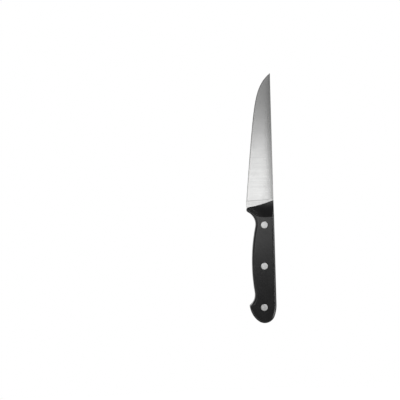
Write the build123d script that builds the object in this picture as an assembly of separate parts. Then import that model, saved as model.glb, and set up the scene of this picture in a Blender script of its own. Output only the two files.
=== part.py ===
from build123d import *
import math
import os

# Boning knife: a full-tang blade between two riveted handle scales.
#
# It is drawn lying down and then stood up. Drawn, X runs from the tip towards the butt,
# Y from the spine towards the edge, and Z across the thickness, with Z = 0 in the middle.
# Stood up as it hangs on a rack, the tip points to +Z, the spine to +X and the edge to -X,
# and the origin is where the rack's bar touches the blade, in the middle of its thickness.

# Blade
blade_length = 154.3         # tip to heel
heel_height = 31.4           # spine to edge at the heel
heel_flat = 7.8              # full-thickness end of the blade behind the ground edge
edge_end_height = 31.1       # spine to edge where the ground edge ends
edge_slope = 0.0953          # how fast the edge closes on the spine there, mm per mm
edge_curve = 0.00009         # and how much faster for each mm squared towards the tip
belly_length = 13.3          # the edge leaves that line by 1/e of the rest over this length
tang_thickness = 2.2
grind_step = 0.1             # the blade's face lies this far below the tang's face at the heel
tip_thickness = 0.8          # at the spine
grind_slope = 0.038          # slope of the ground lower face, mm per mm
bevel_width = 0.9            # sharpened bevel along the edge
bevel_thickness = 0.4        # where the sharpened bevel starts
heel_to_rack = 43.8          # heel to the middle of the rack's bar
spine_to_rack = 5.0          # spine to the middle of the touching strip

# Handle outline
handle_length = 140.6        # front corner at the spine to the end of the butt
front_setback = 8.7          # heel to the front corner at the spine, back towards the tip
front_radius = 117.0         # hollow of the handle's front, against the blade
nub_from_front = 10.7        # finger guard at the heel
nub_height = 28.2
nub_radius = 3.1
choil_radius = 15.5          # hollow for the forefinger
belly_from_front = 75.2      # fullest place of the grip
belly_height = 26.5
belly_radius = 207.0
neck_radius = 16.0           # hollow for the little finger
hook_from_butt = 19.4        # point of the pommel
hook_height = 29.2
hook_radius = 1.2
butt_low_radius = 23.9
butt_radius = 12.0
butt_height = 13.7
butt_high_radius = 36.9

# Scales
scale_thickness = 7.0
scale_edge_radius = 2.8
lip_thickness = 0.8          # front of the scale, at the spine
ramp_length = 19.4           # from the front corner to the full thickness
seat_in_front = 1.0          # full-thickness steel in front of the scales, at the spine

# Rivets
rivet_head_diameter = 7.6
rivet_head_thickness = 1.5
rivet_dome = 0.15
rivet_mark_diameter = 2.4
rivet_mark_depth = 0.1
rivet_shank_diameter = 5.0
rivet_pin_diameter = 3.0
rivet_end_gap = 0.6          # between the end of a shank or pin and the bottom of its space
rivet_clearance = 0.05       # on the radius, in every hole
front_rivet_from_front = 28.3
rear_rivet_from_butt = 18.2
rivet_heights = {"front": 11.6, "middle": 12.8, "rear": 14.2}

# Worked out
ground_length = blade_length - heel_flat
handle_front = blade_length - front_setback
butt_end = handle_front + handle_length
half_tang = tang_thickness / 2
half_handle = half_tang + scale_thickness
edge_round = min(scale_edge_radius, nub_radius - 0.1, 0.45 * scale_thickness)
stood_up = Plane(
    origin=(spine_to_rack, 0, blade_length - heel_to_rack),
    x_dir=(0, 0, -1),
    z_dir=(0, 1, 0),
)
reach = 2 * heel_height + handle_length      # larger than anything across the knife


# Circles of the handle outline

def touching_centre(first, first_reach, second, second_reach, side):
    # The point at the two given distances from two centres, on one side of their line
    gap = second - first
    along = (first_reach ** 2 - second_reach ** 2 + gap.length ** 2) / (2 * gap.length)
    across = math.sqrt(first_reach ** 2 - along ** 2)
    direction = gap.normalized()
    normal = Vector(-direction.Y, direction.X)
    return first + direction * along + normal * (side * across)


def towards(start, other, distance):
    return start + (other - start).normalized() * distance


def short_arc(centre, start, end):
    radius = (start - centre).length
    middle = centre + ((start - centre) + (end - centre)).normalized() * radius
    return ThreePointArc(start, middle, end)


nub = Vector(handle_front + nub_from_front, nub_height)
belly = Vector(handle_front + belly_from_front, belly_height - belly_radius)
hook = Vector(butt_end - hook_from_butt, hook_height)
butt = Vector(butt_end - butt_radius, butt_height)
choil = touching_centre(
    nub, nub_radius + choil_radius, belly, belly_radius + choil_radius, 1)
neck = touching_centre(
    belly, belly_radius + neck_radius, hook, hook_radius + neck_radius, 1)
butt_low = touching_centre(
    hook, butt_low_radius - hook_radius, butt, butt_low_radius - butt_radius, -1)
butt_high = Vector(
    butt.X - math.sqrt((butt_high_radius - butt_radius) ** 2 - (butt_high_radius - butt.Y) ** 2),
    butt_high_radius)

front_corner = Vector(handle_front, 0)
front = touching_centre(front_corner, front_radius, nub, front_radius + nub_radius, 1)


def handle_outline(round_hook=True):
    spine_end = Vector(butt_high.X, 0)
    high_end = towards(butt_high, butt, butt_high_radius)
    butt_stop = towards(butt_low, butt, butt_low_radius)
    if round_hook:
        hook_start = towards(butt_low, hook, butt_low_radius)
        hook_end = towards(hook, neck, hook_radius)
        hook_edges = [short_arc(hook, hook_start, hook_end)]
    else:
        hook_start = touching_centre(neck, neck_radius, butt_low, butt_low_radius, 1)
        hook_end = hook_start
        hook_edges = []
    neck_end = towards(belly, neck, belly_radius)
    choil_start = towards(belly, choil, belly_radius)
    nub_end = towards(nub, choil, nub_radius)
    nub_start = towards(nub, front, nub_radius)
    return make_face([
        Line(front_corner, spine_end),
        short_arc(butt_high, spine_end, high_end),
        short_arc(butt, high_end, butt_stop),
        short_arc(butt_low, butt_stop, hook_start),
        *hook_edges,
        short_arc(neck, hook_end, neck_end),
        short_arc(belly, neck_end, choil_start),
        short_arc(choil, choil_start, nub_end),
        short_arc(nub, nub_end, nub_start),
        short_arc(front, nub_start, front_corner),
    ])


# Rivets

rivet_along = {
    "front": handle_front + front_rivet_from_front,
    "rear": butt_end - rear_rivet_from_butt,
}
rivet_along["middle"] = (rivet_along["front"] + rivet_along["rear"]) / 2


def at_rivets(solid):
    return [Pos(rivet_along[name], rivet_heights[name], 0) * solid for name in rivet_heights]


def rivet_head():
    # The head's flat underside is at Z = 0, and its crown reaches the thickness and the dome
    radius = rivet_head_diameter / 2
    mark = rivet_mark_diameter / 2
    crown = rivet_head_thickness + rivet_dome
    half_section = make_face([
        Line((0, 0), (radius, 0)),
        Line((radius, 0), (radius, rivet_head_thickness)),
        ThreePointArc(
            (radius, rivet_head_thickness),
            (radius / 2, rivet_head_thickness + 0.75 * rivet_dome),
            (0, crown)),
        Line((0, crown), (0, 0)),
    ])
    head = revolve(Plane.XZ * half_section, Axis.Z)
    return head - Pos(0, 0, crown) * Cylinder(mark, 2 * rivet_mark_depth)


def rivet_socket():
    # The front half: a head with a hollow shank that reaches almost to the other head
    underside = half_handle - rivet_head_thickness
    shank_length = 2 * underside - rivet_end_gap
    bore_length = shank_length - rivet_end_gap
    to_back = (Align.CENTER, Align.CENTER, Align.MIN)
    shank = Cylinder(rivet_shank_diameter / 2, shank_length, align=to_back)
    bore = Pos(0, 0, shank_length - bore_length) * Cylinder(
        rivet_pin_diameter / 2 + rivet_clearance, bore_length, align=to_back)
    head = Pos(0, 0, -underside) * mirror(rivet_head(), Plane.XY)
    return head + Pos(0, 0, -underside) * (shank - bore)


def rivet_pin():
    # The back half: a head with a solid pin that fills the hollow shank
    underside = half_handle - rivet_head_thickness
    pin_length = 2 * underside - 2 * rivet_end_gap
    pin = Cylinder(
        rivet_pin_diameter / 2, pin_length, align=(Align.CENTER, Align.CENTER, Align.MAX))
    return Pos(0, 0, underside) * (rivet_head() + pin)


# Blade and tang

def edge_height(along):
    def line(along):
        back = ground_length - along
        return edge_end_height - edge_slope * back - edge_curve * back ** 2

    return line(along) - line(0) * math.exp(-along / belly_length)


def edge_profile(lowered):
    # Everything on the spine's side of the edge, with the edge moved down by a distance
    spacing = 0.3 * belly_length
    start = -spacing
    end = blade_length + 2 * front_setback
    rounded = [start + step * spacing for step in range(12)]
    straight = [blade_length * share for share in (0.4, 0.55, 0.7, 0.85)] + [end]
    points = [(along, edge_height(along) + lowered) for along in rounded + straight]
    return make_face([
        Spline(points),
        Polyline(points[-1], (end, -reach), (start, -reach), points[0]),
    ])


def ground_half():
    # One side of the blade: two sloping faces that follow the edge and a flat face that
    # thins towards the tip, up to the step in front of the heel
    rise = tang_thickness
    bevel_slope = bevel_thickness / 2 / bevel_width
    bevel = Solid.extrude(edge_profile(0).face(), Vector(0, -rise / bevel_slope, rise))
    lowered = bevel_thickness / 2 / grind_slope - bevel_width
    lower = Solid.extrude(edge_profile(lowered).face(), Vector(0, -rise / grind_slope, rise))

    heel_half = half_tang - grind_step
    thinning = (heel_half - tip_thickness / 2) / blade_length
    beyond = 10
    flat = Plane.XZ * make_face(Polyline(
        (-beyond, 0),
        (blade_length, 0),
        (blade_length, heel_half),
        (-beyond, heel_half - thinning * (blade_length + beyond)),
        close=True))
    flat = extrude(flat, amount=-reach)
    return bevel & lower & flat & extrude(blade_plan(), amount=reach)


def blade_plan():
    # The ground part ends at a straight step between the spine and the heel
    return make_face(Polyline(
        (-reach, 0), (handle_front - seat_in_front, 0), (ground_length, heel_height),
        (ground_length, reach), (-reach, reach),
        close=True))


def heel_plan():
    # Full-thickness steel between the ground part and the scales, down to the heel
    return make_face(Polyline(
        (handle_front - seat_in_front, 0), (ground_length, heel_height),
        (blade_length, heel_height), (blade_length, nub.Y), nub, (nub.X, 0),
        close=True))


def blade():
    half = ground_half()
    tang = extrude(handle_outline(), amount=half_tang, both=True)
    heel = extrude(heel_plan(), amount=half_tang, both=True)
    hole = Cylinder(rivet_shank_diameter / 2 + rivet_clearance, 2 * tang_thickness)
    return half + mirror(half, Plane.XY) + tang + heel - at_rivets(hole)


# Scales

def back_scale():
    plate = Pos(0, 0, half_tang) * extrude(handle_outline(round_hook=False), amount=scale_thickness)
    rounded = fillet(plate.faces().sort_by(Axis.Z)[-1].edges(), edge_round)
    rounded &= extrude(handle_outline(), amount=2 * half_handle)

    ramp_rise = scale_thickness - lip_thickness
    ramp_radius = (ramp_length ** 2 + ramp_rise ** 2) / (2 * ramp_rise)
    ramp = Pos(handle_front, 0, half_tang + lip_thickness + ramp_radius) * (
        Rot(90, 0, 0) * Cylinder(ramp_radius, 2 * reach))

    hole = Cylinder(rivet_shank_diameter / 2 + rivet_clearance, 3 * half_handle)
    seat = Pos(0, 0, half_handle) * Cylinder(
        rivet_head_diameter / 2 + rivet_clearance, 2 * rivet_head_thickness)
    return rounded - ramp - at_rivets(hole) - at_rivets(seat)


def front_scale():
    return mirror(back_scale(), Plane.XY)


# Nodes

nodes = {
    "blade": blade(),
    "front_scale": front_scale(),
    "back_scale": back_scale(),
}
for name, height in rivet_heights.items():
    place = Pos(rivet_along[name], height, 0)
    nodes[name + "_rivet_socket"] = place * rivet_socket()
    nodes[name + "_rivet_pin"] = place * rivet_pin()

os.makedirs("parts", exist_ok=True)
for name, node in nodes.items():
    export_step(stood_up * node, os.path.join("parts", name + ".step"))
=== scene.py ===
import math

import bmesh
import bpy
from mathutils import Matrix, Vector


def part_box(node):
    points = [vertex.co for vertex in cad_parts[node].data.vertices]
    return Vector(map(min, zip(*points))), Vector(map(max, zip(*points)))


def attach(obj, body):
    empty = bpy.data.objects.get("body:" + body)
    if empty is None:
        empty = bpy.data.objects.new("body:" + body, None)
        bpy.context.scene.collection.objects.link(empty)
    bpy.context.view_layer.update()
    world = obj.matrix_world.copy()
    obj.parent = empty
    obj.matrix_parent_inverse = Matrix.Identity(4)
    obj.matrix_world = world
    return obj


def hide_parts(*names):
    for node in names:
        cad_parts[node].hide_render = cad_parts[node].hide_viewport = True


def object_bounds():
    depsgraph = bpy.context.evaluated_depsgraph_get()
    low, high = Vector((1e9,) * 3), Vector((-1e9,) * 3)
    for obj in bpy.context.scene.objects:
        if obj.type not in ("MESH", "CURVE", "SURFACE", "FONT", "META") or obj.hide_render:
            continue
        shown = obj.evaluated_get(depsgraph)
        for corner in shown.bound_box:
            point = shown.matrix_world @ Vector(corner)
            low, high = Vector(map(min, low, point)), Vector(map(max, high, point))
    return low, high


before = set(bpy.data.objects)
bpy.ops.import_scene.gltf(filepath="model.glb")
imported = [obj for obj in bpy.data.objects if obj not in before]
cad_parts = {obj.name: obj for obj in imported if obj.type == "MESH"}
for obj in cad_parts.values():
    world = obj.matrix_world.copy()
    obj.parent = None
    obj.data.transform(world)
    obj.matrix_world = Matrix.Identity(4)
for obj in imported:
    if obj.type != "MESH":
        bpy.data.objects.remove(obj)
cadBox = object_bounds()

# Lengths in the dictionaries are millimetres. On the knife, "along" runs from the tip to the butt,
# "down" from the spine to the edge, and "across" out of the middle of the thickness.
millimetre = 0.001
bladeLow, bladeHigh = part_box("blade")
scaleLow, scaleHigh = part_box("back_scale")
handleFront = (bladeHigh.z - scaleHigh.z) / millimetre
buttEnd = (bladeHigh.z - scaleLow.z) / millimetre
heelHeight = (bladeHigh.x - bladeLow.x) / millimetre
halfTang = bladeHigh.y / millimetre
halfHandle = scaleHigh.y / millimetre
scene = bpy.context.scene


def placed(along, down, across):
    return Vector((bladeHigh.x - down * millimetre, across * millimetre, bladeHigh.z - along * millimetre))


def blendBetween(start, end, share):
    return start + (end - start) * share


def steps(start, end, count):
    return [blendBetween(start, end, i / count) for i in range(count + 1)]


def addNode(tree, kind, inputs=None, **settings):
    node = tree.nodes.new(kind)
    for name, value in settings.items():
        setattr(node, name, value)
    for name, value in (inputs or {}).items():
        if isinstance(value, bpy.types.NodeSocket):
            tree.links.new(value, node.inputs[name])
        else:
            node.inputs[name].default_value = value
    return node


def calculated(tree, operation, first, second=0.0):
    return addNode(tree, "ShaderNodeMath", {0: first, 1: second}, operation=operation).outputs[0]


def remapped(tree, value, fromMin, fromMax, toMin=0.0, toMax=1.0, smooth=False):
    return addNode(
        tree, "ShaderNodeMapRange",
        {"Value": value, "From Min": fromMin, "From Max": fromMax, "To Min": toMin, "To Max": toMax},
        interpolation_type="SMOOTHSTEP" if smooth else "LINEAR",
    ).outputs["Result"]


def scaledVector(tree, vector, scale):
    return addNode(tree, "ShaderNodeVectorMath", {0: vector, 1: scale}, operation="MULTIPLY").outputs[0]


def sizedVector(tree, vector, size):
    perSize = calculated(tree, "DIVIDE", 1.0, size)
    return addNode(tree, "ShaderNodeVectorMath", {0: vector, "Scale": perSize}, operation="SCALE").outputs[0]


def noiseOf(tree, vector, detail=2.0, roughness=0.5, distortion=0.0):
    return addNode(tree, "ShaderNodeTexNoise", {
        "Vector": vector, "Scale": 1.0, "Detail": detail, "Roughness": roughness, "Distortion": distortion,
    }).outputs["Fac"]


def newGroup(name, inputs, outputs):
    tree = bpy.data.node_groups.new(name, "ShaderNodeTree")
    for socketName, kind, value in inputs:
        socket = tree.interface.new_socket(socketName, in_out="INPUT", socket_type=kind)
        if value is not None:
            socket.default_value = value
    for socketName in outputs:
        tree.interface.new_socket(socketName, in_out="OUTPUT", socket_type="NodeSocketFloat")
    return tree, tree.nodes.new("NodeGroupInput").outputs, tree.nodes.new("NodeGroupOutput").inputs


def useGroup(tree, group, inputs):
    return addNode(tree, "ShaderNodeGroup", inputs, node_tree=group).outputs


# Fine parallel lines left by the abrasive belt, with slow cloudy changes over them
def makeBrushedGrain():
    tree, given, result = newGroup(
        "brushedGrain",
        [
            ("Vector", "NodeSocketVector", None),
            ("Frequency", "NodeSocketVector", (30.0, 900.0, 4000.0)),
            ("Cloud Size", "NodeSocketFloat", 0.02),
        ],
        ["Lines", "Bands", "Cloud"],
    )
    fine = noiseOf(tree, scaledVector(tree, given["Vector"], given["Frequency"]), 3.0, 0.65)
    tree.links.new(remapped(tree, fine, 0.3, 0.7), result["Lines"])
    wide = scaledVector(tree, given["Vector"], scaledVector(tree, given["Frequency"], (0.45, 0.3, 0.16)))
    tree.links.new(remapped(tree, noiseOf(tree, wide, 2.0, 0.5), 0.3, 0.7), result["Bands"])
    cloud = noiseOf(tree, sizedVector(tree, given["Vector"], given["Cloud Size"]), 2.5, 0.55, 0.3)
    tree.links.new(remapped(tree, cloud, 0.32, 0.68), result["Cloud"])
    return tree


# Dull smears from fingers, and sparse hair scratches in two directions
def makeHandlingMarks():
    tree, given, result = newGroup(
        "handlingMarks",
        [("Vector", "NodeSocketVector", None), ("Smear Size", "NodeSocketFloat", 0.018)],
        ["Smear", "Scratch"],
    )
    smear = noiseOf(tree, sizedVector(tree, given["Vector"], given["Smear Size"]), 4.0, 0.6, 0.8)
    tree.links.new(remapped(tree, smear, 0.45, 0.75, smooth=True), result["Smear"])
    layers = []
    for angle, shift in ((0.5, 0.013), (-1.1, 0.047)):
        turned = addNode(
            tree, "ShaderNodeMapping",
            {"Vector": given["Vector"], "Location": (shift, 0, shift), "Rotation": (0, angle, 0),
             "Scale": (60.0, 60.0, 5200.0)},
        ).outputs[0]
        layers.append(remapped(tree, noiseOf(tree, turned, 1.0, 0.4), 0.70, 0.78))
    tree.links.new(calculated(tree, "MAXIMUM", layers[0], layers[1]), result["Scratch"])
    return tree


# Rubbed rims: a mask painted on the mesh, broken up by noise
def makeRubbedEdge():
    tree, given, result = newGroup(
        "rubbedEdge",
        [
            ("Vector", "NodeSocketVector", None),
            ("Rim", "NodeSocketFloat", 0.0),
            ("Patch Size", "NodeSocketFloat", 0.004),
        ],
        ["Wear"],
    )
    patchVector = sizedVector(tree, given["Vector"], given["Patch Size"])
    patches = remapped(tree, noiseOf(tree, patchVector, 3.0, 0.6), 0.35, 0.65)
    tree.links.new(calculated(tree, "MULTIPLY", given["Rim"], patches), result["Wear"])
    return tree


brushedGrain = makeBrushedGrain()
handlingMarks = makeHandlingMarks()
rubbedEdge = makeRubbedEdge()


def newMaterial(name, constants):
    material = bpy.data.materials.new(name)
    material.use_nodes = True
    tree = material.node_tree
    shader = tree.nodes["Principled BSDF"]
    for socketName, value in constants.items():
        shader.inputs[socketName].default_value = value
    place = tree.nodes.new("ShaderNodeTexCoord").outputs["Object"]
    return material, tree, shader, place


def mixedColour(tree, share, dark, light):
    node = addNode(tree, "ShaderNodeMix", data_type="RGBA")
    colours = [socket for socket in node.inputs if socket.type == "RGBA"]
    for socket, colour in zip(colours, (dark, light)):
        if isinstance(colour, bpy.types.NodeSocket):
            tree.links.new(colour, socket)
        else:
            socket.default_value = (*colour, 1.0)
    tree.links.new(share, node.inputs[0])
    return [socket for socket in node.outputs if socket.type == "RGBA"][0]


def bumpFrom(tree, height, distance, normal=None):
    inputs = {"Height": height, "Distance": distance, "Strength": 1.0}
    if normal is not None:
        inputs["Normal"] = normal
    return addNode(tree, "ShaderNodeBump", inputs).outputs[0]


def makeSteel(name, look):
    material, tree, shader, place = newMaterial(name, {
        "Metallic": 1.0,
        "Anisotropic": look["anisotropic"],
        "Anisotropic Rotation": look["anisotropicTurn"],
    })
    grain = useGroup(tree, brushedGrain, {
        "Vector": place, "Frequency": look["lineFrequency"], "Cloud Size": look["cloudSize"]})
    marks = useGroup(tree, handlingMarks, {"Vector": place, "Smear Size": look["smearSize"]})
    lineShare = calculated(tree, "MULTIPLY", grain["Lines"], look["lineShare"])
    bandShare = calculated(tree, "MULTIPLY", grain["Bands"], look["bandShare"])
    cloudShare = calculated(tree, "MULTIPLY", grain["Cloud"], look["cloudShare"])
    share = calculated(tree, "ADD", calculated(tree, "ADD", lineShare, bandShare), cloudShare)
    colour = mixedColour(tree, share, look["dark"], look["light"])
    tree.links.new(colour, shader.inputs["Base Color"])
    low, high = look["roughness"]
    rough = remapped(tree, share, 0.0, 1.0, high, low)
    dulled = calculated(tree, "MULTIPLY", marks["Smear"], look["smearRoughness"])
    tree.links.new(calculated(tree, "ADD", rough, dulled), shader.inputs["Roughness"])
    scratch = calculated(tree, "MULTIPLY", marks["Scratch"], look["scratchDepth"])
    height = calculated(tree, "SUBTRACT", grain["Lines"], scratch)
    tree.links.new(bumpFrom(tree, height, look["lineDepth"]), shader.inputs["Normal"])
    return material


bladeFinish = {
    "dark": (0.475, 0.475, 0.472),
    "light": (0.55, 0.55, 0.547),
    "roughness": (0.22, 0.27),
    "anisotropic": 0.45,
    "anisotropicTurn": 0.25,
    "lineFrequency": (30.0, 30.0, 4200.0),
    "lineDepth": 0.00000025,
    "lineShare": 0.45,         # how much lines, bands and clouds each count in the colour
    "bandShare": 0.3,
    "cloudShare": 0.25,
    "cloudSize": 0.016,
    "smearSize": 0.02,
    "smearRoughness": 0.03,
    "scratchDepth": 1.5,       # of a grinding line
}
bevelFinish = dict(
    bladeFinish, dark=(0.66, 0.66, 0.66), light=(0.80, 0.80, 0.80), roughness=(0.16, 0.22),
    anisotropic=0.2, lineFrequency=(2600.0, 30.0, 2600.0), lineDepth=0.0000003)
spineFinish = dict(
    bladeFinish, dark=(0.56, 0.56, 0.555), light=(0.72, 0.72, 0.715), roughness=(0.24, 0.34),
    anisotropicTurn=0.0, lineFrequency=(900.0, 3600.0, 26.0), lineDepth=0.0000009)
# Plunge and heel: the blade's steel with the same roughness, its colour painted lighter as a painted
# highlight for the bright band, where the hollow run-up also catches real light from above
shoulderPaintedHighlightFinish = dict(
    bladeFinish, dark=(0.74, 0.74, 0.737), light=(0.82, 0.82, 0.817), anisotropic=0.2, lineDepth=0.00000015)
satinSteel = makeSteel("satinBladeSteel", bladeFinish)
bevelSteel = makeSteel("groundEdgeSteel", bevelFinish)
spineSteel = makeSteel("beltedSpineSteel", spineFinish)
shoulderSteelPaintedHighlight = makeSteel("shoulderSteelPaintedHighlight", shoulderPaintedHighlightFinish)

handleFinish = {
    "dark": (0.0048, 0.0048, 0.0050),
    "light": (0.0075, 0.0075, 0.0078),
    "worn": (0.030, 0.030, 0.031),
    "roughness": (0.22, 0.30),
    "wornRoughness": -0.04,
    "smearSize": 0.022,
    "smearRoughness": 0.05,
    "wornPatch": 0.006,
    "scratchDepth": 0.8,       # of the grain
    "grainSize": 0.00035,
    "grainDepth": 0.0000022,
    "flowFrequency": (160.0, 160.0, 40.0),
    "waveFrequency": (120.0, 120.0, 55.0),
    "waveDepth": 0.000006,
}


def makeHandlePlastic():
    look = handleFinish
    material, tree, shader, place = newMaterial("mouldedBlackPlastic", {"IOR": 1.57, "Metallic": 0.0})
    marks = useGroup(tree, handlingMarks, {"Vector": place, "Smear Size": look["smearSize"]})
    rim = addNode(tree, "ShaderNodeAttribute", attribute_name="rim").outputs["Fac"]
    worn = useGroup(tree, rubbedEdge, {"Vector": place, "Rim": rim, "Patch Size": look["wornPatch"]})
    wear = worn["Wear"]
    grain = noiseOf(tree, scaledVector(tree, place, (1 / look["grainSize"],) * 3), 2.0, 0.6)
    flow = noiseOf(tree, scaledVector(tree, place, look["flowFrequency"]), 3.0, 0.55, 0.6)
    base = mixedColour(tree, remapped(tree, flow, 0.35, 0.65), look["dark"], look["light"])
    tree.links.new(mixedColour(tree, wear, base, look["worn"]), shader.inputs["Base Color"])
    low, high = look["roughness"]
    rough = remapped(tree, grain, 0.3, 0.7, low, high)
    for mask, change in ((marks["Smear"], look["smearRoughness"]), (wear, look["wornRoughness"])):
        rough = calculated(tree, "ADD", rough, calculated(tree, "MULTIPLY", mask, change))
    tree.links.new(rough, shader.inputs["Roughness"])
    slow = noiseOf(tree, scaledVector(tree, place, look["waveFrequency"]), 1.0, 0.4)
    waves = bumpFrom(tree, slow, look["waveDepth"])
    scratch = calculated(tree, "MULTIPLY", marks["Scratch"], look["scratchDepth"])
    grainHeight = calculated(tree, "SUBTRACT", grain, scratch)
    tree.links.new(bumpFrom(tree, grainHeight, look["grainDepth"], waves), shader.inputs["Normal"])
    return material


handlePlastic = makeHandlePlastic()

rivetFinish = {
    "dark": (0.74, 0.74, 0.74),
    "light": (0.88, 0.88, 0.875),
    "roughness": (0.40, 0.48),
    "ringSpacing": 0.00016,
    "ringDepth": 0.0000005,
    "ringShare": 0.55,         # how much rings and patches each count in the colour
    "patchShare": 0.45,
    "patchFrequency": 700.0,
    "smearSize": 0.005,
    "smearRoughness": 0.05,
    "scratchDepth": 1.5,       # of a ring
}


def makeRivetMetal():
    look = rivetFinish
    material, tree, shader, place = newMaterial("facedRivetMetal", {"Metallic": 1.0})
    marks = useGroup(tree, handlingMarks, {"Vector": place, "Smear Size": look["smearSize"]})
    flat = scaledVector(tree, place, (1.0, 0.0, 1.0))
    radius = addNode(tree, "ShaderNodeVectorMath", {0: flat}, operation="LENGTH").outputs["Value"]
    ringCount = calculated(tree, "DIVIDE", radius, look["ringSpacing"])
    turned = addNode(tree, "ShaderNodeCombineXYZ", {"X": ringCount}).outputs[0]
    rings = remapped(tree, noiseOf(tree, turned, 2.0, 0.5), 0.3, 0.7)
    patchVector = scaledVector(tree, place, (look["patchFrequency"],) * 3)
    patches = remapped(tree, noiseOf(tree, patchVector, 3.0, 0.6), 0.3, 0.7)
    ringShare = calculated(tree, "MULTIPLY", rings, look["ringShare"])
    patchShare = calculated(tree, "MULTIPLY", patches, look["patchShare"])
    share = calculated(tree, "ADD", ringShare, patchShare)
    tree.links.new(mixedColour(tree, share, look["dark"], look["light"]), shader.inputs["Base Color"])
    low, high = look["roughness"]
    rough = remapped(tree, patches, 0.0, 1.0, low, high)
    dulled = calculated(tree, "MULTIPLY", marks["Smear"], look["smearRoughness"])
    tree.links.new(calculated(tree, "ADD", rough, dulled), shader.inputs["Roughness"])
    scratch = calculated(tree, "MULTIPLY", marks["Scratch"], look["scratchDepth"])
    height = calculated(tree, "SUBTRACT", rings, scratch)
    tree.links.new(bumpFrom(tree, height, look["ringDepth"]), shader.inputs["Normal"])
    return material


rivetMetal = makeRivetMetal()
print("materials made")

handleShape = {
    "frontRadius": 117.0,
    "nubFromFront": 10.7,
    "nubHeight": 28.2,
    "nubRadius": 3.1,
    "choilRadius": 15.5,
    "bellyFromFront": 75.2,
    "bellyHeight": 26.5,
    "bellyRadius": 207.0,
    "neckRadius": 16.0,
    "hookFromButt": 19.4,
    "hookHeight": 29.2,
    "hookRadius": 1.2,
    "buttLowRadius": 23.9,
    "buttRadius": 12.0,
    "buttHeight": 13.7,
    "buttHighRadius": 36.9,
    "spacing": 1.5,        # longest step between points of the outline
    "turn": 4.0,           # most degrees that the outline turns at a point
}


# The point at two given distances from two centres, on one side of their line
def touchingCentre(first, firstReach, second, secondReach, side):
    gap = second - first
    onLine = (firstReach ** 2 - secondReach ** 2 + gap.length ** 2) / (2 * gap.length)
    offLine = math.sqrt(firstReach ** 2 - onLine ** 2)
    direction = gap.normalized()
    return first + direction * onLine + Vector((-direction.y, direction.x)) * (side * offLine)


def towards(start, other, distance):
    return start + (other - start).normalized() * distance


def arcPoints(centre, start, end):
    first = start - centre
    last = end - centre
    angle = math.atan2(first.x * last.y - first.y * last.x, first.dot(last))
    count = max(
        math.ceil(abs(angle) * first.length / handleShape["spacing"]),
        math.ceil(math.degrees(abs(angle)) / handleShape["turn"]))
    points = []
    for i in range(count):
        turn = angle * i / count
        points.append(centre + Vector((
            first.x * math.cos(turn) - first.y * math.sin(turn),
            first.x * math.sin(turn) + first.y * math.cos(turn))))
    return points


# The handle's outline from the front corner along the spine, round the butt and back along the grip
def makeOutline(shape):
    nub = Vector((handleFront + shape["nubFromFront"], shape["nubHeight"]))
    belly = Vector((handleFront + shape["bellyFromFront"], shape["bellyHeight"] - shape["bellyRadius"]))
    hook = Vector((buttEnd - shape["hookFromButt"], shape["hookHeight"]))
    butt = Vector((buttEnd - shape["buttRadius"], shape["buttHeight"]))
    choil = touchingCentre(
        nub, shape["nubRadius"] + shape["choilRadius"], belly, shape["bellyRadius"] + shape["choilRadius"], 1)
    neck = touchingCentre(
        belly, shape["bellyRadius"] + shape["neckRadius"], hook, shape["hookRadius"] + shape["neckRadius"], 1)
    buttLow = touchingCentre(
        hook, shape["buttLowRadius"] - shape["hookRadius"],
        butt, shape["buttLowRadius"] - shape["buttRadius"], -1)
    highGap = shape["buttHighRadius"] - shape["buttRadius"]
    highDrop = shape["buttHighRadius"] - shape["buttHeight"]
    buttHigh = Vector((butt.x - math.sqrt(highGap ** 2 - highDrop ** 2), shape["buttHighRadius"]))
    corner = Vector((handleFront, 0))
    front = touchingCentre(corner, shape["frontRadius"], nub, shape["frontRadius"] + shape["nubRadius"], 1)
    spineEnd = Vector((buttHigh.x, 0))
    highEnd = towards(buttHigh, butt, shape["buttHighRadius"])
    buttStop = towards(buttLow, butt, shape["buttLowRadius"])
    hookStart = towards(buttLow, hook, shape["buttLowRadius"])
    hookEnd = towards(hook, neck, shape["hookRadius"])
    neckEnd = towards(belly, neck, shape["bellyRadius"])
    choilStart = towards(belly, choil, shape["bellyRadius"])
    nubEnd = towards(nub, choil, shape["nubRadius"])
    nubStart = towards(nub, front, shape["nubRadius"])
    count = math.ceil((spineEnd - corner).length / shape["spacing"])
    points = [corner + (spineEnd - corner) * (i / count) for i in range(count)]
    turns = [
        (buttHigh, spineEnd, highEnd), (butt, highEnd, buttStop), (buttLow, buttStop, hookStart),
        (hook, hookStart, hookEnd), (neck, hookEnd, neckEnd), (belly, neckEnd, choilStart),
        (choil, choilStart, nubEnd), (nub, nubEnd, nubStart), (front, nubStart, corner),
    ]
    for centre, start, end in turns:
        points += arcPoints(centre, start, end)
    return points, hook, nub


outline, hookCentre, nubCentre = makeOutline(handleShape)


def finishMesh(name, mesh, materials, sharpAngle):
    for material in materials:
        mesh.materials.append(material)
    piece = bpy.data.objects.new(name, mesh)
    scene.collection.objects.link(piece)
    mesh.shade_smooth()
    mesh.set_sharp_from_angle(angle=math.radians(sharpAngle))
    weighted = piece.modifiers.new("flatFaceShading", "WEIGHTED_NORMAL")
    weighted.keep_sharp = True
    return piece


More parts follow.
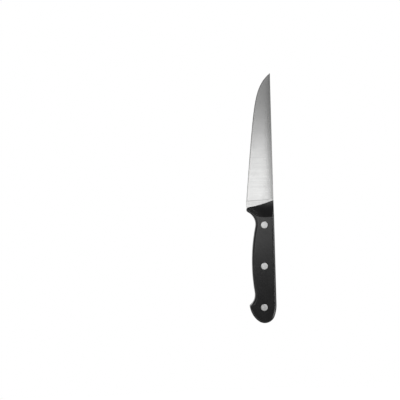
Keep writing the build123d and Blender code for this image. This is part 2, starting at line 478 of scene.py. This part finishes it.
# A closed solid of revolution round the Y axis, from points of radius and height
def lathed(profile, segments=96):
    shape = bmesh.new()
    rings = []
    for radius, height in profile:
        if radius == 0:
            rings.append([shape.verts.new((0, height * millimetre, 0))])
            continue
        rings.append([
            shape.verts.new((
                radius * millimetre * math.cos(2 * math.pi * i / segments),
                height * millimetre,
                radius * millimetre * math.sin(2 * math.pi * i / segments)))
            for i in range(segments)
        ])
    for first, second in zip(rings, rings[1:]):
        for i in range(segments):
            j = (i + 1) % segments
            corners = [first[i % len(first)], first[j % len(first)]]
            corners += [second[j % len(second)], second[i % len(second)]]
            corners = list(dict.fromkeys(corners))        # a point on the axis counts once
            if len(corners) > 2:
                shape.faces.new(corners)
    bmesh.ops.recalc_face_normals(shape, faces=shape.faces)
    mesh = bpy.data.meshes.new("lathedShape")
    shape.to_mesh(mesh)
    shape.free()
    return mesh


def cutBy(mesh, cutters):
    whole = bpy.data.objects.new("beingCut", mesh)
    scene.collection.objects.link(whole)
    for cutter in cutters:
        scene.collection.objects.link(cutter)
        cut = whole.modifiers.new("hole", "BOOLEAN")
        cut.operation = "DIFFERENCE"
        cut.solver = "EXACT"
        cut.object = cutter
    cutMesh = bpy.data.meshes.new_from_object(whole.evaluated_get(bpy.context.evaluated_depsgraph_get()))
    for used in [whole, *cutters]:
        bpy.data.objects.remove(used)
    return cutMesh


rivetShape = {
    "headRadius": 3.8,
    "headThickness": 1.5,
    "dome": 0.06,
    "rimEasing": 0.1,
    "markRadius": 1.2,
    "markWidth": 0.28,
    "markDepth": 0.1,
    "shankRadius": 2.5,
    "pinRadius": 1.5,
    "endGap": 0.6,
    "clearance": 0.05,
    "seatEasing": 0.08,     # rounded rim of the seat in the plastic
    "crownSteps": 14,
    "sharpAngle": 32.0,
}
rivetNames = ["front", "middle", "rear"]


def rivetPlace(name):
    low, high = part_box(name + "_rivet_socket")
    return Vector(((low.x + high.x) / 2, 0, (low.z + high.z) / 2))


def cutterAt(name, profile):
    cutter = bpy.data.objects.new("cutter", lathed(profile))
    cutter.location = rivetPlace(name)
    return cutter


bladeShape = {
    "groundLength": 146.5,     # tip to the end of the ground edge
    "heelBack": 154.3,         # tip to the back of the heel
    "stepAtSpine": 144.6,
    "edgeEndHeight": 31.1,
    "edgeSlope": 0.0953,
    "edgeCurve": 0.00009,
    "bellyLength": 13.3,
    "tipHalf": 0.4,            # half thicknesses
    "heelHalf": 1.0,
    "grindSlope": 0.038,
    "shoulderBlend": 0.2,      # softness of the line between flat and ground faces
    "bevelWidth": 0.9,
    "bevelHalf": 0.2,
    "flankAtTip": 9.0,         # width of the crown beside the spine
    "flankAtHeel": 6.0,
    "flankDropTip": 0.15,
    "flankDropHeel": 0.09,
    "easing": 0.12,
    "plungeAtSpine": 0.2,      # hollow run-up to the full thickness
    "plungeAtEdge": 0.5,
    "lengthwise": 110,         # sections from the tip to the plunge
    "tipCrowding": 1.6,        # above 1, the sections stand closer towards the tip
    "plungeSteps": 8,
    "flankSteps": 4,           # points down a section: crown, flat face and ground face
    "faceSteps": 8,
    "groundSteps": 12,
    "fullDepth": 4.0,          # nearer the point than this depth, the section's details shrink
    "flankLimit": 0.6,         # widest crown, as a share of the depth
    "shoulderLimit": 0.05,     # narrowest flat face, as a share of what is left
    "leastStep": 0.02,
    "sharpAngle": 8.5,
}


def edgeDepth(along):
    shape = bladeShape

    def line(along):
        back = shape["groundLength"] - along
        return shape["edgeEndHeight"] - shape["edgeSlope"] * back - shape["edgeCurve"] * back ** 2

    return line(along) - line(0) * math.exp(-along / shape["bellyLength"])


easingTurns = [0.0, 30.0, 60.0, 90.0]


def easedCorner(top, half, size):
    return [
        (top + size * (1 - math.cos(math.radians(turn))), half - size * (1 - math.sin(math.radians(turn))))
        for turn in easingTurns
    ]


# One side of the ground blade, from the middle of the spine to the cutting edge
def groundSection(along):
    shape = bladeShape
    deep = edgeDepth(along)
    share = along / shape["heelBack"]
    flatHalf = blendBetween(shape["tipHalf"], shape["heelHalf"], share)
    size = min(1.0, deep / shape["fullDepth"])
    easing = shape["easing"] * size
    flank = min(blendBetween(shape["flankAtTip"], shape["flankAtHeel"], share), shape["flankLimit"] * deep)
    bevelTop = deep - shape["bevelWidth"] * size
    shoulder = bevelTop - (flatHalf - shape["bevelHalf"]) / shape["grindSlope"]
    shoulder = max(shoulder, flank + shape["shoulderLimit"] * (bevelTop - flank))
    drop = blendBetween(shape["flankDropTip"], shape["flankDropHeel"], share)
    drop *= size * min(1.0, flatHalf * 2)

    def half(down):
        ground = shape["bevelHalf"] * size + (bevelTop - down) * shape["grindSlope"]
        crown = drop * max(0.0, 1 - down / flank) ** 2
        gap = max(0.0, shape["shoulderBlend"] * size - abs(flatHalf - ground))
        return min(flatHalf, ground) - gap ** 2 / (4 * shape["shoulderBlend"] * size) - crown

    points = easedCorner(0, half(easing), easing)
    points += [(down, half(down)) for down in steps(easing, flank, shape["flankSteps"])[1:]]
    points += [(down, half(down)) for down in steps(flank, shoulder, shape["faceSteps"])[1:]]
    points += [(down, half(down)) for down in steps(shoulder, bevelTop, shape["groundSteps"])[1:]]
    points += [((bevelTop + deep) / 2, shape["bevelHalf"] * size / 2), (deep, 0.0)]
    return points


# One side of the full-thickness steel, with as many points
def plateSection(top, bottom):
    easing = bladeShape["easing"]
    pattern = groundSection(bladeShape["groundLength"])
    corner = len(easingTurns)
    firstDown = pattern[corner - 1][0]
    lastDown = pattern[-3][0]
    points = easedCorner(top, halfTang, easing)
    for down, _ in pattern[corner:-3]:
        share = (down - firstDown) / (lastDown - firstDown)
        points.append((blendBetween(top + easing, bottom - easing, share), halfTang))
    return points + [(bottom - easing, halfTang), (bottom, halfTang - easing), (bottom, 0.0)]


def curveAt(curve, along):
    for first, second in zip(curve, curve[1:]):
        if first.x <= along <= second.x:
            return blendBetween(first.y, second.y, (along - first.x) / max(second.x - first.x, 1e-9))
    return curve[-1].y


def bladeStations():
    shape = bladeShape
    heel = plateSection(0, heelHeight)
    shares = [min(1.0, down / heelHeight) for down, _ in heel]
    stepAt = [blendBetween(shape["stepAtSpine"], shape["groundLength"], v) for v in shares]
    plunge = [blendBetween(shape["plungeAtSpine"], shape["plungeAtEdge"], v) for v in shares]
    stations = []
    for i in range(1, shape["lengthwise"] + 1):
        share = (i / shape["lengthwise"]) ** shape["tipCrowding"]
        alongs = [share * (end - width) for end, width in zip(stepAt, plunge)]
        stations.append(("ground", [(s, *groundSection(s)[j]) for j, s in enumerate(alongs)]))
    for i in range(1, shape["plungeSteps"] + 1):
        share = math.sin(math.pi / 2 * i / shape["plungeSteps"])
        rise = 1 - math.sqrt(1 - share ** 2)
        ring = []
        for j, (end, width) in enumerate(zip(stepAt, plunge)):
            along = end - width * (1 - share)
            down, half = groundSection(along)[j]
            ring.append((along, blendBetween(down, heel[j][0], rise), blendBetween(half, heel[j][1], rise)))
        stations.append(("plunge", ring))
    farthest = max(range(len(outline)), key=lambda i: outline[i].x)
    spineCurve = outline[:farthest + 1]
    gripCurve = outline[farthest:][::-1]
    while gripCurve[0].y < nubCentre.y:
        gripCurve.pop(0)
    last = shape["heelBack"]
    flat = blendBetween(shape["groundLength"], last, 0.5)
    tang = [(along, 0, heelHeight) for along in (flat, last - shape["easing"])]
    tang.append((last, 0, curveAt(gripCurve, last)))
    for along in sorted({point.x for point in spineCurve + gripCurve}):
        if along - last > shape["leastStep"] and along < outline[farthest].x - 0.001:
            tang.append((along, curveAt(spineCurve, along), curveAt(gripCurve, along)))
            last = along
    stations += [("plate", [(s, *point) for point in plateSection(top, bottom)]) for s, top, bottom in tang]
    return stations


def makeBlade():
    shape = bmesh.new()
    stations = bladeStations()
    tip = shape.verts.new(placed(0, 0, 0))
    rings = []
    for kind, section in stations:
        front = [shape.verts.new(placed(s, down, -half)) for s, down, half in section[:-1]]
        back = [shape.verts.new(placed(s, down, half)) for s, down, half in section[:-1]]
        edge = shape.verts.new(placed(*section[-1]))
        rings.append((kind, front + [edge] + back[::-1]))
    count = len(rings[0][1])
    half = count // 2                      # index of the cutting edge in a ring
    bevelIndex, spineIndex, shoulderPaintedHighlightIndex = 1, 2, 3
    for i in range(count):
        shape.faces.new((tip, rings[0][1][(i + 1) % count], rings[0][1][i]))
    for (_, first), (kind, second) in zip(rings, rings[1:]):
        for i in range(count):
            j = (i + 1) % count
            face = shape.faces.new((first[i], first[j], second[j], second[i]))
            nearEdge = half - 2 <= i <= half + 1
            nearSpine = i >= count - 3 or i < 3
            if nearEdge and kind == "ground":
                face.material_index = bevelIndex
            elif nearSpine or (nearEdge and kind == "plate"):
                face.material_index = spineIndex
            # plunge and heel faces take the lighter steel, a painted highlight
            elif kind != "ground":
                face.material_index = shoulderPaintedHighlightIndex
    shape.faces.new(rings[-1][1])
    bmesh.ops.recalc_face_normals(shape, faces=shape.faces)
    mesh = bpy.data.meshes.new("bladeMesh")
    shape.to_mesh(mesh)
    shape.free()
    radius = rivetShape["shankRadius"] + rivetShape["clearance"]
    reach = halfTang * 2
    hole = [(0, -reach), (radius, -reach), (radius, reach), (0, reach)]
    mesh = cutBy(mesh, [cutterAt(name, hole) for name in rivetNames])
    mesh.materials.clear()
    metals = [satinSteel, bevelSteel, spineSteel, shoulderSteelPaintedHighlight]
    return finishMesh("bladeAndTang", mesh, metals, bladeShape["sharpAngle"])


blade = makeBlade()
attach(blade, "root")
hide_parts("blade")
print("blade made", len(blade.data.polygons), "faces")

scaleShape = {
    "edgeRadius": 2.8,
    "hookEdgeRadius": 1.0,      # the rounding narrows at the pommel's point
    "hookSpread": 0.45,
    "lipThickness": 0.8,
    "rampLength": 19.4,
    "rampMiddle": 9.0,          # where across the handle the ramp is longest
    "rampBow": 0.019,           # how much shorter it gets for each square of the distance from there
    "rampCrease": 0.4,
    "rampCuts": 44,             # rows of points along and across the ramp
    "acrossCuts": 16,
    "rimShare": 0.4,            # the rounding is this share of the thickness on the ramp
    "seamEasing": 0.12,
    "roundSteps": 9,
    "holding": 0.15,            # flat band inside the rounding
    "firstCut": 0.8,
    "sharpAngle": 32.0,
}
scaleThickness = halfHandle - halfTang


# Height of the scale's face over the tang: a hollow ramp behind the blade, then flat
def faceHeight(along, down):
    shape = scaleShape
    rise = scaleThickness - shape["lipThickness"]
    length = shape["rampLength"] - shape["rampBow"] * (down - shape["rampMiddle"]) ** 2
    radius = (length ** 2 + rise ** 2) / (2 * rise)
    distance = max(0.0, along - handleFront)
    onArc = min(distance, length)
    arc = math.sqrt(radius ** 2 - onArc ** 2)
    ramp = shape["lipThickness"] + radius - arc + (distance - onArc) * onArc / arc
    gap = abs(ramp - scaleThickness)
    soften = max(shape["rampCrease"] - gap, 0.0) ** 2 / (4 * shape["rampCrease"])
    return min(ramp, scaleThickness) - soften


def inwardNormals(points):
    normals = []
    for i, point in enumerate(points):
        before = (point - points[i - 1]).normalized()
        after = (points[(i + 1) % len(points)] - point).normalized()
        first = Vector((-before.y, before.x))
        second = Vector((-after.y, after.x))
        middle = (first + second).normalized()
        normals.append(middle / max(middle.dot(first), 0.5))
    return normals


def makeScale(name, side):
    shape = scaleShape
    normals = inwardNormals(outline)
    radii = []
    for point in outline:
        radius = min(shape["edgeRadius"], shape["rimShare"] * faceHeight(point.x, point.y))
        hookDistance = max(0.0, (point - hookCentre).length - handleShape["hookRadius"])
        radii.append(min(radius, shape["hookEdgeRadius"] + shape["hookSpread"] * hookDistance))
    form = bmesh.new()
    dropLayer = form.verts.layers.float.new("drop")
    rimLayer = form.verts.layers.float.new("rim")

    # Each ring is a distance in from the outline and a drop below the face
    def ring(distances, drops, rims):
        made = []
        for point, normal, distance, drop, rim in zip(outline, normals, distances, drops, rims):
            flat = point + normal * distance
            vert = form.verts.new((flat.x, flat.y, 0))
            vert[dropLayer] = drop
            vert[rimLayer] = rim
            made.append(vert)
        return made

    count = len(outline)
    seamMark, wallMark = 1000.0, 2000.0        # drops that stand for fixed heights above the tang
    rings = [
        ring([shape["seamEasing"]] * count, [seamMark] * count, [0.0] * count),
        ring([0.0] * count, [wallMark] * count, [0.0] * count),
    ]
    for i in range(shape["roundSteps"] + 1):
        turn = math.pi / 2 * i / shape["roundSteps"]
        rim = math.sin(2 * turn) ** 2
        rings.append(ring(
            [r * (1 - math.cos(turn)) for r in radii],
            [r * (1 - math.sin(turn)) for r in radii],
            [rim] * count))
    rings.append(ring([r + shape["holding"] for r in radii], [0.0] * count, [0.0] * count))
    form.faces.new(rings[0])
    for first, second in zip(rings, rings[1:]):
        for i in range(count):
            j = (i + 1) % count
            form.faces.new((first[i], first[j], second[j], second[i]))
    form.faces.new(rings[-1])
    rampEnd = handleFront + shape["rampLength"] + shape["rampCrease"] * 3
    deepest = max(point.y for point in outline if point.x < rampEnd)
    cuts = [(along, 0, 0) for along in steps(handleFront + shape["firstCut"], rampEnd, shape["rampCuts"])]
    cuts += [
        (0, down, 0) for down in steps(shape["firstCut"], deepest - shape["firstCut"], shape["acrossCuts"])]
    for cut in cuts:
        geometry = set()
        for face in form.faces:
            onTop = all(vert[dropLayer] < seamMark for vert in face.verts)
            if onTop and (cut[0] > 0 or face.calc_center_median().x < rampEnd):
                geometry.update([face, *face.edges, *face.verts])
        bmesh.ops.bisect_plane(
            form, geom=list(geometry), plane_co=cut, plane_no=Vector(cut).normalized(), dist=1e-6)
    for vert in form.verts:
        along, down, drop = vert.co.x, vert.co.y, vert[dropLayer]
        if drop == seamMark:
            height = 0.0
        elif drop == wallMark:
            height = shape["seamEasing"]
        else:
            height = faceHeight(along, down) - drop
        vert.co = placed(along, down, side * (halfTang + height))
    bmesh.ops.recalc_face_normals(form, faces=form.faces)
    mesh = bpy.data.meshes.new(name + "Mesh")
    form.to_mesh(mesh)
    form.free()
    rivet = rivetShape
    shank = rivet["shankRadius"] + rivet["clearance"]
    seat = rivet["headRadius"] + rivet["clearance"]
    floor = halfHandle - rivet["headThickness"]
    easing = rivet["seatEasing"]
    inside = side * 0.5 * halfTang        # the cutter starts within the tang
    profile = [
        (0, inside), (shank, inside), (shank, side * floor), (seat, side * floor),
        (seat, side * (halfHandle - easing)), (seat + easing, side * halfHandle),
        (seat + easing, side * (halfHandle + 1)), (0, side * (halfHandle + 1)),
    ]
    mesh = cutBy(mesh, [cutterAt(place, profile) for place in rivetNames])
    mesh.materials.clear()
    return finishMesh(name, mesh, [handlePlastic], shape["sharpAngle"])


for name, node, side in (("frontScale", "front_scale", -1), ("backScale", "back_scale", 1)):
    scalePiece = makeScale(name, side)
    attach(scalePiece, "root")
    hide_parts(node)
    print(name, "made", len(scalePiece.data.polygons), "faces")


# The domed head, from the centre out: a struck ring in the middle, then the crown and the eased rim
def headProfile():
    rivet = rivetShape
    points = []

    def crown(radius):
        return halfHandle + rivet["dome"] * (1 - (radius / rivet["headRadius"]) ** 2)

    mark, width, depth = rivet["markRadius"], rivet["markWidth"], rivet["markDepth"]
    hollow = [(0, 0.9), (mark * 0.4, 0.75), (mark * 0.7, 0.8), (mark - width, 1.0), (mark - width / 3, 1.0)]
    for radius, drop in hollow + [(mark, 0.25)]:
        points.append((radius, crown(radius) - depth * drop))
    points.append((mark + width / 4, crown(mark)))
    for radius in steps(mark + width, rivet["headRadius"] - rivet["rimEasing"], rivet["crownSteps"]):
        points.append((radius, crown(radius)))
    outer = rivet["headRadius"]
    easing = rivet["rimEasing"]
    for turn in (30, 60, 90):
        angle = math.radians(turn)
        points.append((
            outer - easing * (1 - math.sin(angle)),
            crown(outer - easing) - easing * (1 - math.cos(angle))))
    return points


def makeRivet(name, hollow):
    rivet = rivetShape
    underside = halfHandle - rivet["headThickness"]
    profile = headProfile() + [(rivet["headRadius"], underside)]
    if hollow:
        bore = rivet["pinRadius"] + rivet["clearance"]
        end = rivet["endGap"] - underside
        profile += [(rivet["shankRadius"], underside), (rivet["shankRadius"], end), (bore, end)]
        profile += [(bore, underside - rivet["endGap"]), (0, underside - rivet["endGap"])]
    else:
        end = 2 * rivet["endGap"] - underside
        profile += [(rivet["pinRadius"], underside), (rivet["pinRadius"], end), (0, end)]
    side = -1 if hollow else 1
    mesh = lathed([(radius, side * height) for radius, height in profile])
    suffix = "Socket" if hollow else "Pin"
    piece = finishMesh(name + "Rivet" + suffix, mesh, [rivetMetal], rivet["sharpAngle"])
    piece.location = rivetPlace(name)
    return piece


for name in rivetNames:
    for hollow, suffix in ((True, "_rivet_socket"), (False, "_rivet_pin")):
        rivetPiece = makeRivet(name, hollow)
        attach(rivetPiece, "root")
        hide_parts(name + suffix)
print("rivets made")

stageValues = {
    "floorDrop": 0.6,          # metres below the knife's middle
    "floorRadius": 2.2,
    "floorColour": (0.9, 0.9, 0.9, 1.0),
    "floorRoughness": 0.8,
    "floorGlow": 0.85,
    "background": 1.0,
    "lowSky": 0.04,
    "highSky": 0.14,
    "aimHeight": -0.035,       # height that the softboxes face
}
# Far soft glows round the knife: direction, full and outer angle in degrees, brightness
softGlows = [
    ((0.0, -1.0, 0.0), 5.0, 60.0, 0.04),
    ((-0.10, -1.0, 0.22), 2.0, 21.0, 0.42),
    ((1.0, -0.30, 0.0), 8.0, 40.0, 0.90),
    ((-1.0, -0.3, -0.1), 8.0, 42.0, 0.45),
    ((-0.62, -0.60, -0.50), 6.0, 32.0, 0.85),
    ((0.0, -0.35, -1.0), 8.0, 50.0, 0.45),
    ((0.3, 1.0, 0.1), 8.0, 60.0, 0.65),
    ((0.68, 0.68, -0.26), 8.0, 42.0, 0.55),
    ((-0.5, 0.8, -0.3), 8.0, 50.0, 0.45),
]
# Near softboxes in metres: place, width, height, brightness; each faces the knife
softboxes = {
    "frontSoftbox": ((-0.075, -0.45, -0.035), 0.26, 0.17, 1.75),
    "rightUpperSoftbox": ((0.30, -0.22, 0.28), 0.18, 0.14, 6.0),
    "rightHighSoftbox": ((0.32, -0.22, -0.02), 0.20, 0.06, 7.0),
    "rightLowSoftbox": ((0.27, -0.27, -0.27), 0.22, 0.10, 5.5),
}


def makeFloor():
    shape = bmesh.new()
    bmesh.ops.create_circle(shape, cap_ends=True, segments=96, radius=stageValues["floorRadius"])
    mesh = bpy.data.meshes.new("floorMesh")
    shape.to_mesh(mesh)
    shape.free()
    floor = bpy.data.objects.new("floor", mesh)
    floor.location = (0, 0, (cadBox[0].z + cadBox[1].z) / 2 - stageValues["floorDrop"])
    scene.collection.objects.link(floor)
    material = bpy.data.materials.new("paleFloor")
    material.use_nodes = True
    shader = material.node_tree.nodes["Principled BSDF"]
    shader.inputs["Base Color"].default_value = stageValues["floorColour"]
    shader.inputs["Roughness"].default_value = stageValues["floorRoughness"]
    shader.inputs["Emission Color"].default_value = (1, 1, 1, 1)
    shader.inputs["Emission Strength"].default_value = stageValues["floorGlow"]
    mesh.materials.append(material)
    floor.visible_diffuse = False
    floor.visible_glossy = False
    floor.visible_shadow = False


def makeWorld():
    world = bpy.data.worlds.new("softStudio")
    scene.world = world
    world.use_nodes = True
    tree = world.node_tree
    tree.nodes.clear()
    direction = tree.nodes.new("ShaderNodeTexCoord").outputs["Generated"]
    height = addNode(tree, "ShaderNodeSeparateXYZ", {0: direction}).outputs["Z"]
    total = remapped(tree, height, -1.0, 1.0, stageValues["lowSky"], stageValues["highSky"], smooth=True)
    for pointing, inner, outer, brightness in softGlows:
        aim = Vector(pointing).normalized()
        closeness = addNode(
            tree, "ShaderNodeVectorMath", {0: direction, 1: aim}, operation="DOT_PRODUCT").outputs["Value"]
        angle = calculated(tree, "ARCCOSINE", calculated(tree, "MINIMUM", closeness, 1.0))
        glow = remapped(tree, angle, math.radians(inner), math.radians(outer), brightness, 0.0, smooth=True)
        total = calculated(tree, "ADD", total, glow)
    seen = tree.nodes.new("ShaderNodeLightPath").outputs["Is Camera Ray"]
    dome = addNode(tree, "ShaderNodeBackground", {"Strength": total})
    plain = addNode(tree, "ShaderNodeBackground", {"Strength": stageValues["background"]})
    for node in (dome, plain):
        node.inputs["Color"].default_value = (1, 1, 1, 1)
    mix = addNode(tree, "ShaderNodeMixShader", {0: seen, 1: dome.outputs[0], 2: plain.outputs[0]})
    output = tree.nodes.new("ShaderNodeOutputWorld")
    tree.links.new(mix.outputs[0], output.inputs["Surface"])


def makeSoftboxes():
    for name, (place, width, height, brightness) in softboxes.items():
        data = bpy.data.lights.new(name, "AREA")
        data.shape = "RECTANGLE"
        data.size = width
        data.size_y = height
        data.energy = brightness * math.pi * width * height
        lamp = bpy.data.objects.new(name, data)
        scene.collection.objects.link(lamp)
        lamp.location = place
        facing = Vector((0, 0, stageValues["aimHeight"])) - Vector(place)
        lamp.rotation_euler = facing.to_track_quat("-Z", "Z").to_euler()
        lamp.visible_camera = False


cameraValues = {
    "distance": 1.2756,        # metres in front of the knife
    "aside": -0.0792,          # of the origin
    "height": -0.0329,
    "lean": 1.61,              # degrees that the knife leans in the view
    "lens": 100.0,
}


def makeCamera():
    data = bpy.data.cameras.new("camera")
    data.lens = cameraValues["lens"]
    camera = bpy.data.objects.new("camera", data)
    scene.collection.objects.link(camera)
    lean = math.radians(cameraValues["lean"])
    right = Vector((math.cos(lean), 0, -math.sin(lean)))
    up = Vector((math.sin(lean), 0, math.cos(lean)))
    turned = Matrix((right, up, Vector((0, -1, 0)))).transposed().to_4x4()
    place = Vector((cameraValues["aside"], -cameraValues["distance"], cameraValues["height"]))
    camera.matrix_world = Matrix.Translation(place) @ turned
    scene.camera = camera


makeFloor()
makeWorld()
makeSoftboxes()
makeCamera()
scene.view_settings.view_transform = "Standard"
print("stage made")
